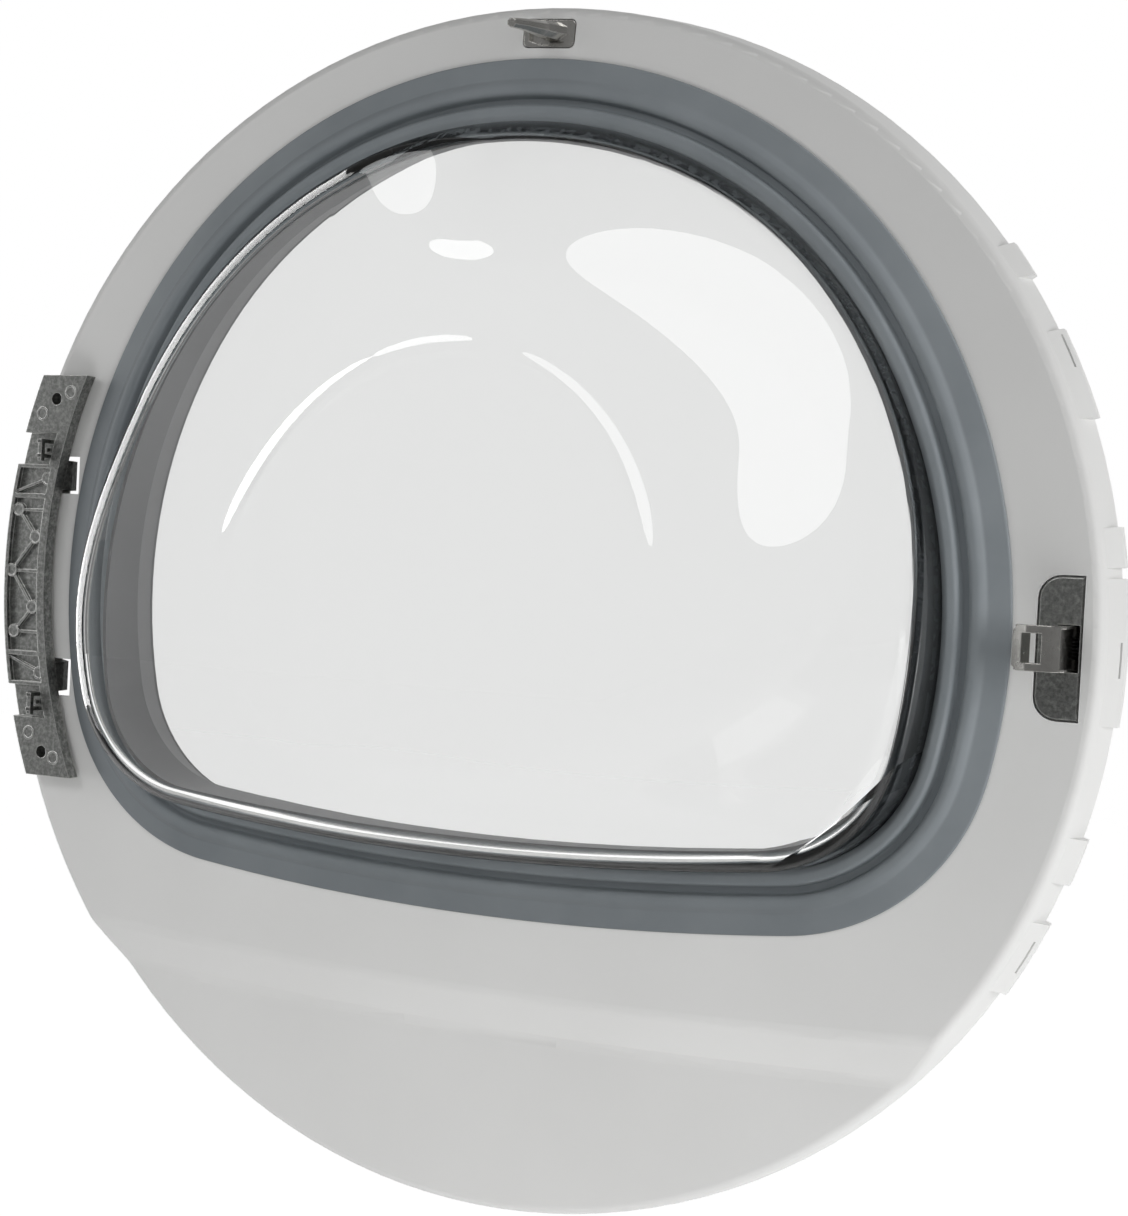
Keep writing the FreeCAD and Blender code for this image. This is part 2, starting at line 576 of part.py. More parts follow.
def leaf_hook(side):
    """Hanging hook of the leaf: two legs out of the well and a bar across them."""
    zc = HINGE_Z + side * HOOK_DZ
    x0 = leaf_x(LEAF_IN_R, HOOK_DZ) + 0.38 * LEAF_W
    x1 = x0 + 6.0
    pieces = []
    for z in (zc - 4.0, zc + 2.4):
        leg = [(x0, LEAF_BACK), (x0, LEAF_SEAT + 4.0), (x0 + 2.0, LEAF_SEAT + 4.6),
               (x1, LEAF_SEAT - 1.0), (x1, LEAF_BACK)]
        pieces.append(prism_z(leg, z, z + 1.6))
    pieces.append(box(x0, x0 + 2.0, LEAF_SEAT + 1.8, LEAF_SEAT + 4.0, zc - 5.5, zc + 4.0))
    pieces.append(box(x0 + 1.5, x1 - 1.0, LEAF_BACK, LEAF_SEAT - 1.5, zc - 1.2, zc + 0.4))
    return fused(pieces)


def ejector_mark(dz, share, top):
    """Raised ring that an ejector pin leaves on the casting."""
    x, z = leaf_point(dz, share)
    ring = rod_y(EJECTOR_R, LEAF_BACK + 1.0, top + EJECTOR_RISE, x, z)
    return ring.cut(rod_y(EJECTOR_R - EJECTOR_RING, top, top + 2.0, x, z))


def hinge_plate():
    floor = LEAF_BACK + LEAF_FLOOR
    rib_top = LEAF_SEAT - RIB_LOW
    bar = leaf_sector(LEAF_IN_R, LEAF_OUT_R, LEAF_BACK, LEAF_SEAT, LEAF_HALF_H)
    r0, r1 = LEAF_IN_R + 2.5 * LEAF_WALL, LEAF_OUT_R - LEAF_WALL
    pocket = leaf_sector(r0, r1, floor, LEAF_SEAT + 1, LEAF_HALF_H)
    for low, high in POCKETS:
        bar = bar.cut(pocket.common(box(0, FAR, 0, FAR, HINGE_Z + low, HINGE_Z + high)))
    r0, r1 = LEAF_IN_R + 0.24 * LEAF_W, LEAF_OUT_R + 2.0
    well = leaf_sector(r0, r1, LEAF_BACK + 2.0, LEAF_SEAT + 1, LEAF_HALF_H)
    for side in (-1, 1):
        zc = HINGE_Z + side * HOOK_DZ
        bar = bar.cut(well.common(box(0, FAR, 0, FAR, zc - WELL_HALF, zc + WELL_HALF)))
    pieces = [bar]
    middle = KNOTS[1:-1]
    for a, b in zip(middle[:-1], middle[1:]):
        pieces.append(rib(leaf_point(*a), leaf_point(*b), LEAF_BACK + 1.0, rib_top))
    for dz, share in SPOKES:
        pieces.append(rib(leaf_point(dz, share), leaf_point(dz, 0.15), LEAF_BACK + 1.0, rib_top))
    for a, b in GUSSETS:
        pieces.append(rib(leaf_point(*a), leaf_point(*b), LEAF_BACK + 1.0, rib_top))
    pieces += [ejector_mark(dz, share, rib_top) for dz, share in KNOTS]
    pieces += [ejector_mark(dz, share, LEAF_SEAT) for dz, share in MARKS]
    for side in (-1, 1):
        pieces.append(hinge_arm(side))
        pieces.append(leaf_hook(side))
    leaf = fused(pieces)
    for side in (-1, 1):
        x, z = hinge_screw_point(side)
        leaf = leaf.cut(rod_y(HINGE_SCREW_R, LEAF_BACK - 1, LEAF_SEAT + 1, x, z))
    return leaf


def hinge_screw_point(side):
    return (hinge_screw_x(), HINGE_Z + side * HINGE_SCREW_DZ)


def hinge_screw_x():
    return (leaf_x(LEAF_IN_R, HINGE_SCREW_DZ) + leaf_x(LEAF_OUT_R, HINGE_SCREW_DZ)) / 2


def hinge_bush(side):
    """Plain bush pressed into the eye, its flange on the side of the bearing block."""
    zc = HINGE_Z + side * ARM_DZ
    z_in = zc - side * ARM_HALF
    z_out = zc + side * ARM_HALF
    z_flange = z_in - side * BUSH_FLANGE
    body = rod_z(BUSH_R, min(z_in, z_out), max(z_in, z_out), PIVOT_X, PIVOT_Y)
    flange = rod_z(BUSH_R + BUSH_RIM, min(z_in, z_flange), max(z_in, z_flange), PIVOT_X, PIVOT_Y)
    bore = rod_z(PIN_R + PIN_GAP, zc - 20, zc + 20, PIVOT_X, PIVOT_Y)
    return body.fuse(flange).removeSplitter().cut(bore)


def hinge_pin(side):
    z_low = BEARING_HALF - LUG_LEN
    z_high = ARM_DZ + ARM_HALF
    ends = sorted((HINGE_Z + side * z_low, HINGE_Z + side * z_high))
    pin = rod_z(PIN_R, ends[0], ends[1], PIVOT_X, PIVOT_Y)
    tip = [e for e in pin.Edges if abs(e.BoundBox.ZMin - e.BoundBox.ZMax) < 1e-6]
    return pin.makeChamfer(0.5, tip)


def hinge_bearing():
    """Block on four bosses inside the face, with a lug for a pin at each end."""
    y0, y1 = BEARING_SEAT - BEARING_T, BEARING_SEAT
    low, high = HINGE_Z - BEARING_BASE_HALF, HINGE_Z + BEARING_BASE_HALF
    base = box(BASE_IN_X, BASE_OUT_X, y0, y1, low, high)
    spine = box(BASE_OUT_X - SPINE_T, BASE_OUT_X, y0 - SPINE_H, y0, low, high)
    pieces = [base, spine]
    for side in (-1, 1):
        ends = sorted((HINGE_Z + side * BEARING_HALF, HINGE_Z + side * (BEARING_HALF - LUG_LEN)))
        pieces.append(rod_z(LUG_R, ends[0], ends[1], PIVOT_X, PIVOT_Y))
        pieces.append(box(BASE_OUT_X - SPINE_T, PIVOT_X, PIVOT_Y - LUG_R, y1, ends[0], ends[1]))
    block = fused(pieces)
    for side in (-1, 1):
        z = sorted((HINGE_Z + side * (BEARING_HALF + 5), HINGE_Z + side * (BEARING_HALF - LUG_LEN)))
        block = block.cut(rod_z(PIN_R, z[0], z[1], PIVOT_X, PIVOT_Y))
    for x, z in bearing_screw_points():
        block = block.cut(rod_y(SCREW_R, -20, 0, x, z))
    return block


def hinge_bearing_screws():
    seat = BEARING_SEAT - BEARING_T
    return Part.makeCompound([screw(x, z, seat, PILOT_END) for x, z in bearing_screw_points()])


def lock_screw_points():
    return [((LOCK_X0 + LOCK_X1) / 2, side * LOCK_SCREW_Z) for side in (-1, 1)]


def lock_plate():
    plate = prism_y(lock_outline(0.0), -LOCK_T, 0.0)
    plate = plate.makeChamfer(LOCK_BEVEL, [e for e in plate.Edges if e.BoundBox.YMin > -1e-6])
    reach = HOOK_HALF + HOOK_SIDE_GAP
    for side in (-1, 1):
        z = sorted((side * reach, side * (reach + LUG_T)))
        lug = box(HOOK_PIVOT_X - 4.5, HOOK_PIVOT_X + 4.5, HOOK_PIVOT_Y, -LOCK_T + 0.5, z[0], z[1])
        plate = plate.fuse(lug).fuse(rod_z(4.5, z[0], z[1], HOOK_PIVOT_X, HOOK_PIVOT_Y))
    plate = plate.removeSplitter()
    plate = plate.cut(box(HOOK_WINDOW_X0, HOOK_WINDOW_X1, -LOCK_T - 1, 1, -reach, reach))
    plate = plate.cut(rod_z(LOCK_PIN_R, -20, 20, HOOK_PIVOT_X, HOOK_PIVOT_Y))
    for x, z in lock_screw_points():
        plate = plate.cut(rod_y(SCREW_R, -LOCK_T - 1, PILOT_END, x, z))
    return plate


def lock_hook():
    """Catch hook: a channel on the pin, and a head with a bevelled square hole between two claws."""
    xo, xi, nose = HOOK_OUT_X, HOOK_OUT_X + HOOK_T, HOOK_NOSE_X
    top, head = HOOK_TOP, HOOK_TOP - HOOK_HEAD_T
    outline = [(xo, HOOK_PIVOT_Y), (xo, top - 2.5), (xo + 2.5, top), (nose - 5.0, top), (nose, top - 2.2),
               (nose, head), (xi + 1.5, head), (xi, head - 1.5), (xi, HOOK_PIVOT_Y)]
    hook = prism_z(outline, -HOOK_HALF, HOOK_HALF)
    pieces = [hook, rod_z(HOOK_EYE_R, -HOOK_HALF, HOOK_HALF, HOOK_PIVOT_X, HOOK_PIVOT_Y)]
    for side in (-1, 1):
        z = sorted((side * HOOK_HALF, side * (HOOK_HALF - CHANNEL_T)))
        flange = [(xo + 1.0, CHANNEL_Y0), (xo - CHANNEL_RISE, CHANNEL_Y0),
                  (xo - CHANNEL_RISE, top - 6.0), (xo + 1.0, top - 3.0)]
        pieces.append(prism_z(flange, z[0], z[1]))
        z = sorted((side * HOOK_HALF, side * (HOOK_HALF - CLAW_T)))
        claw = [(nose - 2.2, head + 1.0), (nose - 1.6, head - CLAW_L),
                (nose, head - CLAW_L), (nose, head + 1.0)]
        pieces.append(prism_z(claw, z[0], z[1]))
    hook = fused(pieces)
    hook = hook.cut(box(HOOK_HOLE_X0, HOOK_HOLE_X1, head - 5, top + 1, -HOOK_HOLE_HALF, HOOK_HOLE_HALF))
    bevel = [(HOOK_HOLE_X1 - 0.1, top + 0.1), (HOOK_HOLE_X1 + HOOK_BEVEL, top + 0.1),
             (HOOK_HOLE_X1 - 0.1, head + 1.0)]
    hook = hook.cut(prism_z(bevel, -HOOK_HOLE_HALF, HOOK_HOLE_HALF))
    for side in (-1, 1):
        tip = [(nose + 1.0, side * (HOOK_HALF - HOOK_CORNER - 1.0)), (nose + 1.0, side * (HOOK_HALF + 1.0)),
               (nose - HOOK_CORNER - 1.0, side * (HOOK_HALF + 1.0))]
        hook = hook.cut(prism_y(tip, head, top + 1.0))
    coil_room = COIL_R + WIRE_R + COIL_ROOM
    half = COIL_TURNS * COIL_PITCH / 2 + WIRE_R + 0.4
    hook = hook.cut(box(xo - 6, xi + 8, HOOK_PIVOT_Y - 8, HOOK_PIVOT_Y + coil_room, -half, half))
    return hook.cut(rod_z(LOCK_PIN_R + LOCK_PIN_GAP, -20, 20, HOOK_PIVOT_X, HOOK_PIVOT_Y))


def lock_pin():
    reach = HOOK_HALF + HOOK_SIDE_GAP + LUG_T
    return rod_z(LOCK_PIN_R, -reach, reach, HOOK_PIVOT_X, HOOK_PIVOT_Y)


def lock_spring():
    """Torsion spring on the pin with one leg on the plate and one on the shank."""
    height = COIL_TURNS * COIL_PITCH
    helix = Part.makeHelix(COIL_PITCH, height, COIL_R)
    ring = Part.Wire(Part.makeCircle(WIRE_R, vec(COIL_R, 0, 0), vec(0, 1, 0)))
    coil = Part.Wire(helix.Edges).makePipeShell([ring], True, True)
    coil.translate(vec(HOOK_PIVOT_X, HOOK_PIVOT_Y, -height / 2))
    x = HOOK_PIVOT_X + COIL_R
    leg_a = rod_y(WIRE_R, HOOK_PIVOT_Y, -LOCK_T, x, -height / 2)
    leg_b = rod_y(WIRE_R, HOOK_PIVOT_Y, HOOK_PIVOT_Y + COIL_R + WIRE_R + COIL_ROOM, x, height / 2)
    return coil.fuse(leg_a).fuse(leg_b)


def lock_screws():
    seat = -LOCK_T - PAD_T
    return Part.makeCompound([screw(x, z, seat, PILOT_END) for x, z in lock_screw_points()])


def peg_screw_point():
    return (PEG_X0 + 5.5, (PEG_Z0 + PEG_Z1) / 2)


def switch_peg():
    plate = prism_y(peg_outline(0.0), -LOCK_T, 0.0)
    cx, cz = (PEG_X0 + PEG_X1) / 2 + 1.0, (PEG_Z0 + PEG_Z1) / 2 + 0.5

    def oval(scale_x, scale_z, x, y, z):
        pts = []
        for i in range(8):
            a = math.radians(45.0 * i + 22.5)
            pts.append(vec(x + scale_x * math.cos(a), y, z + scale_z * math.sin(a)))
        return Part.makePolygon(pts + [pts[0]])

    stations = ((-0.5, 6.5, 3.8, -3.0, 0.0), (6.0, 4.2, 3.2, 0.0, 0.0),
                (15.0, 2.6, 2.3, PEG_LEAN_X * 0.6, -0.6),
                (PEG_RISE, 1.9, 1.9, PEG_LEAN_X, PEG_LEAN_Z))
    wires = [oval(sx, sz, cx + dx, y, cz + dz) for y, sx, sz, dx, dz in stations]
    hollow = [(PEG_X1 - u * PEG_W, PEG_Z0 + v * PEG_H) for u, v in PEG_POCKET]
    plate = plate.cut(prism_y(hollow, -PEG_POCKET_D, 1.0))
    peg = plate.fuse(Part.makeLoft(wires, True, True)).removeSplitter()
    x, z = peg_screw_point()
    return peg.cut(rod_y(SCREW_R, -LOCK_T - 1, PILOT_END, x, z))


def peg_screw():
    x, z = peg_screw_point()
    return screw(x, z, -LOCK_T - PAD_T, PILOT_END)


def frame_with_pads():
    frame = inner_frame()
    for pad in clip_pads():
        frame = frame.fuse(pad)
    frame = frame.removeSplitter()
    for slit in clip_slits():
        frame = frame.cut(slit)
    return frame


def parts():
    return {
        "inner_frame": frame_with_pads(),
        "outer_ring": outer_ring(),
        "door_seal": door_seal(),
        "glass_bowl": glass_bowl(),
        "glass_retainer": glass_retainer(),
        "window_trim": window_trim(),
        "window_pane": window_pane(),
        "retainer_screws": retainer_screws(),
        "hinge_plate": hinge_plate(),
        "hinge_bush_upper": hinge_bush(1),
        "hinge_bush_lower": hinge_bush(-1),
        "hinge_bearing": hinge_bearing(),
        "hinge_pin_upper": hinge_pin(1),
        "hinge_pin_lower": hinge_pin(-1),
        "hinge_bearing_screws": hinge_bearing_screws(),
        "lock_plate": lock_plate(),
        "lock_hook": lock_hook(),
        "lock_pin": lock_pin(),
        "lock_spring": lock_spring(),
        "lock_screws": lock_screws(),
        "switch_peg": switch_peg(),
        "peg_screw": peg_screw(),
    }


os.makedirs("parts", exist_ok=True)
for node, shape in parts().items():
    shape.translate(vec(-hinge_screw_x(), -LEAF_SEAT, -HINGE_Z))
    shape.exportStep("parts/" + node + ".step")
    size = shape.BoundBox
    print(node, "valid", shape.isValid(), "solids", len(shape.Solids), "volume", round(shape.Volume),
          "size", round(size.XLength, 1), round(size.YLength, 1), round(size.ZLength, 1))
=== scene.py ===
"""Looks, light and camera for the round laundry door.

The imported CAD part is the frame. The glass bowl and the seal are rebuilt here with finer surfaces,
and every other CAD node keeps its shape and gets a procedural material. Lengths that describe the
door are millimetres about the axis of its round panel, and row() turns them into metres in the
row frame. The camera looks at the drum side, where the hinge is at +X and the catch at -X.
"""
import json
import math

import bpy
import numpy as np
from mathutils import Matrix, Vector


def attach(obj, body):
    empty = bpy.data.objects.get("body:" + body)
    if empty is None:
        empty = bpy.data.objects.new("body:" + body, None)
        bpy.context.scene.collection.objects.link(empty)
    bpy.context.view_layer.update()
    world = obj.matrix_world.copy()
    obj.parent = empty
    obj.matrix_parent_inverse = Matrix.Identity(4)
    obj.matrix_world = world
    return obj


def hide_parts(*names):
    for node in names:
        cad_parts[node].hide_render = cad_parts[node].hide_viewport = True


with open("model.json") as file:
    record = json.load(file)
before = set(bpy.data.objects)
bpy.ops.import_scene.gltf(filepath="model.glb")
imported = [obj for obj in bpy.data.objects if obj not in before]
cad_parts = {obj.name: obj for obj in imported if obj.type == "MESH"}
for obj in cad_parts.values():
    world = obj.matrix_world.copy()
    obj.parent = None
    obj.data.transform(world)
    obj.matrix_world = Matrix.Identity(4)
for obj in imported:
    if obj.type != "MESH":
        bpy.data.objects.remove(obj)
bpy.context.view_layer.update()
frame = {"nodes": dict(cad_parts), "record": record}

# Place of the door's axis in the row frame
HINGE_X, SEAT_Y, HINGE_Z = 214.205, 8.0, 4.0

# D outline of the seal: crown, sides, corners and foot
CROWN_R, CROWN_Z, CROWN_DEG = 205.0, 15.0, 58.0
SIDE_R, CORNER_R = 230.0, 84.05
FOOT_R, FOOT_Z = 1115.0, -121.5
OUTLINE_STEPS = 720

# Bowl, with offsets measured inwards from the D outline
FLANGE_IN, WALL_IN = 12.0, 24.6
FLANGE_TOP, FLANGE_BOTTOM = -4.0, -9.0
GLASS_T, GLASS_BASE_T = 5.0, 5.5
DRAFT, DRAFT_IN = 0.07, 0.05
SHOULDER_OUT_R, SHOULDER_IN_R = 11.0, 7.0
NOSE_YZ = ((28.0, -115.0), (37.6, -78.0), (41.0, -45.0), (41.5, -13.0), (35.5, 25.0), (26.5, 63.0),
           (21.0, 99.0), (17.0, 131.0), (13.8, 160.0), (11.8, 190.0), (11.0, 215.0))
NOSE_CROSS_R = 2600.0
BOWL_CENTRE_Z = 30.0
NOSE_RINGS, SHOULDER_RINGS, WALL_RINGS = 30, 20, 6

# Shoulder curve: how far it starts from the corner, as a share of its radius, and its half angle
SHOULDER_SETBACK, SHOULDER_HALF_DEG = 0.8, 40.0

# Search for the height where wall and nose meet: a height above any glass, and halvings
SEARCH_TOP, SEARCH_HALVINGS = 75.0, 40

# Seal section, offset inwards and height, with its corner rounding
SEAL_SECTION = ((0.0, 0.0), (0.0, 0.5), (0.6, 1.1), (8.6, 2.2), (9.8, 3.3), (11.4, 4.1),
                (13.6, 4.0), (14.8, 3.0), (15.2, 1.6), (15.4, -1.8), (18.4, -1.8), (18.8, 3.4),
                (19.8, 4.6), (23.0, 4.4), (25.055, 2.5), (24.6, -4.0), (10.0, -4.0), (10.0, 0.0))
SEAL_ROUND = 0.8

# Soft forms in the pressed glass that only bend reflections: a rolled brim and a ridge. Each has
# its centre, the stretch of X about it, its radius and its height, and fades out over a stretch
BRIM_CENTRE, BRIM_STRETCH, BRIM_R, BRIM_DROP = (13.5, 35.0), 0.739, (87.6, 161.2), 32.0
RIDGE_CENTRE, RIDGE_STRETCH, RIDGE_R, RIDGE_HALF, RIDGE_RISE = (12.0, 0.0), 1.1, 104.0, 6.0, 0.9
BRIM_FADE_X, BRIM_FADE_Z, RIDGE_FADE_Z = (5.0, 75.0), (-130.0, -55.0), (0.0, 50.0)

# Bare metal that gets softboxes of its own
METAL_NODES = ("switch_peg", "lock_hook", "lock_plate", "hinge_plate")

# Edge shading: samples of the rounded normal
BEVEL_SAMPLES = 6

# Camera, fitted to the photograph
CAMERA_AZ, CAMERA_EL, CAMERA_ROLL = 24.65, 1.30, 2.92
CAMERA_PLACE = (-355.2, 702.1, 21.0)
CAMERA_FOCAL_PX, IMAGE_H = 1966.0, 1216.0

# Backdrop: cosines from the line of sight where it starts and is full, and the rest of the studio
BACKDROP_COS, STUDIO_DIM = (0.45, 0.80), 0.18

# Floor in metres, its grey, and the glow that only eyes and mirrors see, which ends in front (mm)
FLOOR_HALF, FLOOR_Z = 6.0, -0.75
FLOOR_GREY, FLOOR_GLOW, FLOOR_GLOW_Y = 0.56, 0.81, (0.0, 400.0)

# Points that the softboxes and the other lamps are aimed at, and how far off the softboxes stand
BRIM_AIM, RIDGE_AIM, RIM_AIM = (-110, 20, 90), (83, 20, 74), (120, 20, 0)
FACE_AIM, MIDDLE_AIM, LOWER_AIM = (0, 0, 30), (0, 0, 0), (0, 0, -180)
FAR_REACH, NEAR_REACH = 6000.0, 2500.0


def row(x, y, z):
    """A point of the door in metres, in the row frame."""
    return ((x - HINGE_X) / 1000.0, (y - SEAT_Y) / 1000.0, (z - HINGE_Z) / 1000.0)


def d_arcs():
    """Arcs of the D outline: centre x, centre z, radius, first and last angle in degrees."""
    turn = math.radians(90.0 - CROWN_DEG)
    side_x = (CROWN_R - SIDE_R) * math.cos(turn)
    side_z = CROWN_Z + (CROWN_R - SIDE_R) * math.sin(turn)
    foot_z = FOOT_Z + FOOT_R
    near, far = SIDE_R - CORNER_R, FOOT_R - CORNER_R
    dx, dz = -side_x, foot_z - side_z
    length = math.hypot(dx, dz)
    along = (near * near - far * far + length * length) / (2.0 * length)
    across = math.sqrt(near * near - along * along)
    corner_x = side_x + along * dx / length + across * dz / length
    corner_z = side_z + along * dz / length - across * dx / length
    a_side = math.degrees(math.atan2(corner_z - side_z, corner_x - side_x))
    a_foot = math.degrees(math.atan2(corner_z - foot_z, corner_x))
    a_crown = 90.0 - CROWN_DEG
    return [
        (0.0, foot_z, FOOT_R, -180.0 - a_foot, a_foot),
        (corner_x, corner_z, CORNER_R, a_foot, a_side),
        (side_x, side_z, SIDE_R, a_side, a_crown),
        (0.0, CROWN_Z, CROWN_R, a_crown, 180.0 - a_crown),
        (-side_x, side_z, SIDE_R, 180.0 - a_crown, 180.0 - a_side),
        (-corner_x, corner_z, CORNER_R, 180.0 - a_side, 180.0 - a_foot),
    ]


def d_outline(steps):
    """Points on the D outline at even spacing, with the inward direction at each."""
    arcs = d_arcs()
    lengths = [r * math.radians(a1 - a0) for _, _, r, a0, a1 in arcs]
    total = sum(lengths)
    points, inwards = [], []
    for i in range(steps):
        s = total * i / steps
        k = 0
        while s > lengths[k]:
            s -= lengths[k]
            k += 1
        cx, cz, r, a0, a1 = arcs[k]
        a = math.radians(a0) + s / r
        points.append((cx + r * math.cos(a), cz + r * math.sin(a)))
        inwards.append((-math.cos(a), -math.sin(a)))
    return np.array(points), np.array(inwards)


OUTLINE, INWARDS = d_outline(OUTLINE_STEPS)


def spline(knots_x, knots_y):
    """Natural cubic spline through the knots, as a function of x."""
    x, y = np.array(knots_x), np.array(knots_y)
    n = len(x)
    h = np.diff(x)
    a = np.eye(n)
    b = np.zeros(n)
    for i in range(1, n - 1):
        a[i, i - 1:i + 2] = h[i - 1], 2.0 * (h[i - 1] + h[i]), h[i]
        b[i] = 6.0 * ((y[i + 1] - y[i]) / h[i] - (y[i] - y[i - 1]) / h[i - 1])
    m = np.linalg.solve(a, b)

    def value(at):
        at = np.clip(np.asarray(at, float), x[0], x[-1])
        k = np.clip(np.searchsorted(x, at) - 1, 0, n - 2)
        lo, hi, w = at - x[k], x[k + 1] - at, h[k]
        bend = (m[k] * hi ** 3 + m[k + 1] * lo ** 3) / (6.0 * w)
        return bend + (y[k] / w - m[k] * w / 6.0) * hi + (y[k + 1] / w - m[k + 1] * w / 6.0) * lo

    return value


nose_line = spline([z for _, z in NOSE_YZ], [y for y, _ in NOSE_YZ])


def nose_height(x, z):
    """Height of the bowl's outer nose over the rear face."""
    axis_y = max(y for y, _ in NOSE_YZ) - NOSE_CROSS_R
    radius = nose_line(z) - axis_y
    return axis_y + np.sqrt(radius ** 2 - np.asarray(x) ** 2)


def on_nose(xz, drop):
    """Points of the nose, or of its inner side at a drop below it, over places in x and z."""
    return np.column_stack((xz[:, 0], nose_height(xz[:, 0], xz[:, 1]) - drop, xz[:, 1]))


def mesh_piece(name, rings, closed_pole=False, smooth_deg=35.0):
    """A piece from rings of equally many points; the end rings close to poles or to each other."""
    count = len(rings[0])
    vertices = [row(*p) for ring in rings for p in ring]
    faces = []
    for r in range(len(rings) - 1):
        for i in range(count):
            j = (i + 1) % count
            faces.append((r * count + i, r * count + j, (r + 1) * count + j, (r + 1) * count + i))
    if closed_pole:
        for ring, flip in ((0, True), (len(rings) - 1, False)):
            centre = np.mean(rings[ring], axis=0)
            vertices.append(row(*centre))
            for i in range(count):
                a, b = ring * count + i, ring * count + (i + 1) % count
                faces.append((len(vertices) - 1, b, a) if flip else (a, b, len(vertices) - 1))
    else:
        last = (len(rings) - 1) * count
        for i in range(count):
            j = (i + 1) % count
            faces.append((last + i, last + j, j, i))
    mesh = bpy.data.meshes.new(name)
    mesh.from_pydata(vertices, [], [f[::-1] for f in faces])
    mesh.polygons.foreach_set("use_smooth", [True] * len(mesh.polygons))
    mesh.set_sharp_from_angle(angle=math.radians(smooth_deg))
    mesh.update()
    piece = bpy.data.objects.new(name, mesh)
    bpy.context.scene.collection.objects.link(piece)
    return piece


def offset_ring(inwards, height):
    """The D outline moved inwards, at one height or at a height per point."""
    xz = OUTLINE + INWARDS * np.reshape(inwards, (-1, 1))
    y = np.broadcast_to(height, (OUTLINE_STEPS,))
    return np.column_stack((xz[:, 0], y, xz[:, 1]))


def wall_ring(inset, draft, height):
    """A ring on the bowl's wall, which leans inwards by its draft."""
    return offset_ring(WALL_IN + inset + draft * (np.asarray(height) - FLANGE_TOP), height)


def bowl_skin(inset, draft, drop, start, shoulder_r):
    """Rings of one side of the glass, from its open edge over wall and shoulder to the middle."""
    low = np.full(OUTLINE_STEPS, start)
    high = np.full(OUTLINE_STEPS, SEARCH_TOP)
    for _ in range(SEARCH_HALVINGS):
        mid = (low + high) / 2.0
        at = wall_ring(inset, draft, mid)
        under = nose_height(at[:, 0], at[:, 2]) - drop > mid
        low, high = np.where(under, mid, low), np.where(under, high, mid)
    corner = wall_ring(inset, draft, low)
    setback = shoulder_r * SHOULDER_SETBACK
    wall_end = wall_ring(inset, draft, low - setback)
    centre = np.array((0.0, BOWL_CENTRE_Z))
    flat = corner[:, (0, 2)]
    inward = centre - flat
    reach = np.linalg.norm(inward, axis=1, keepdims=True)
    nose_xz = flat + inward / reach * setback
    nose_end = on_nose(nose_xz, drop)
    rings = []
    for k in range(WALL_RINGS):
        t = k / WALL_RINGS
        rings.append(wall_ring(inset, draft, start + (low - setback - start) * t))
    weight = math.cos(math.radians(SHOULDER_HALF_DEG))
    for k in range(SHOULDER_RINGS + 1):
        t = k / SHOULDER_RINGS
        a, b, c = (1 - t) ** 2, 2 * t * (1 - t) * weight, t * t
        rings.append((a * wall_end + b * corner + c * nose_end) / (a + b + c))
    for k in range(1, NOSE_RINGS):
        share = 1.0 - k / NOSE_RINGS
        rings.append(on_nose(centre + (nose_xz - centre) * share, drop))
    return rings


def glass_bowl():
    """The pressed bowl: inner skin, flange and outer skin as one closed surface."""
    inner = bowl_skin(GLASS_BASE_T, DRAFT_IN, GLASS_T, FLANGE_BOTTOM, SHOULDER_IN_R)
    outer = bowl_skin(0.0, DRAFT, 0.0, FLANGE_TOP, SHOULDER_OUT_R)
    flange = [offset_ring(FLANGE_IN, FLANGE_BOTTOM), offset_ring(FLANGE_IN, FLANGE_TOP)]
    return mesh_piece("bowl_glass", inner[::-1] + flange + outer, closed_pole=True)


def rounded(section, radius, steps=4):
    """The closed section with each corner replaced by a short curve."""
    points = [np.array(p) for p in section]
    out = []
    for i, p in enumerate(points):
        before, after = points[i - 1] - p, points[(i + 1) % len(points)] - p
        a = before * min(radius / np.linalg.norm(before), 0.45)
        b = after * min(radius / np.linalg.norm(after), 0.45)
        for k in range(steps + 1):
            t = k / steps
            out.append(p + a * (1 - t) ** 2 + b * t * t)
    return out


def door_seal():
    """The lipped seal: its rounded section carried round the D outline."""
    rings = [offset_ring(s, y) for s, y in rounded(SEAL_SECTION, SEAL_ROUND)]
    return mesh_piece("seal_lips", rings)


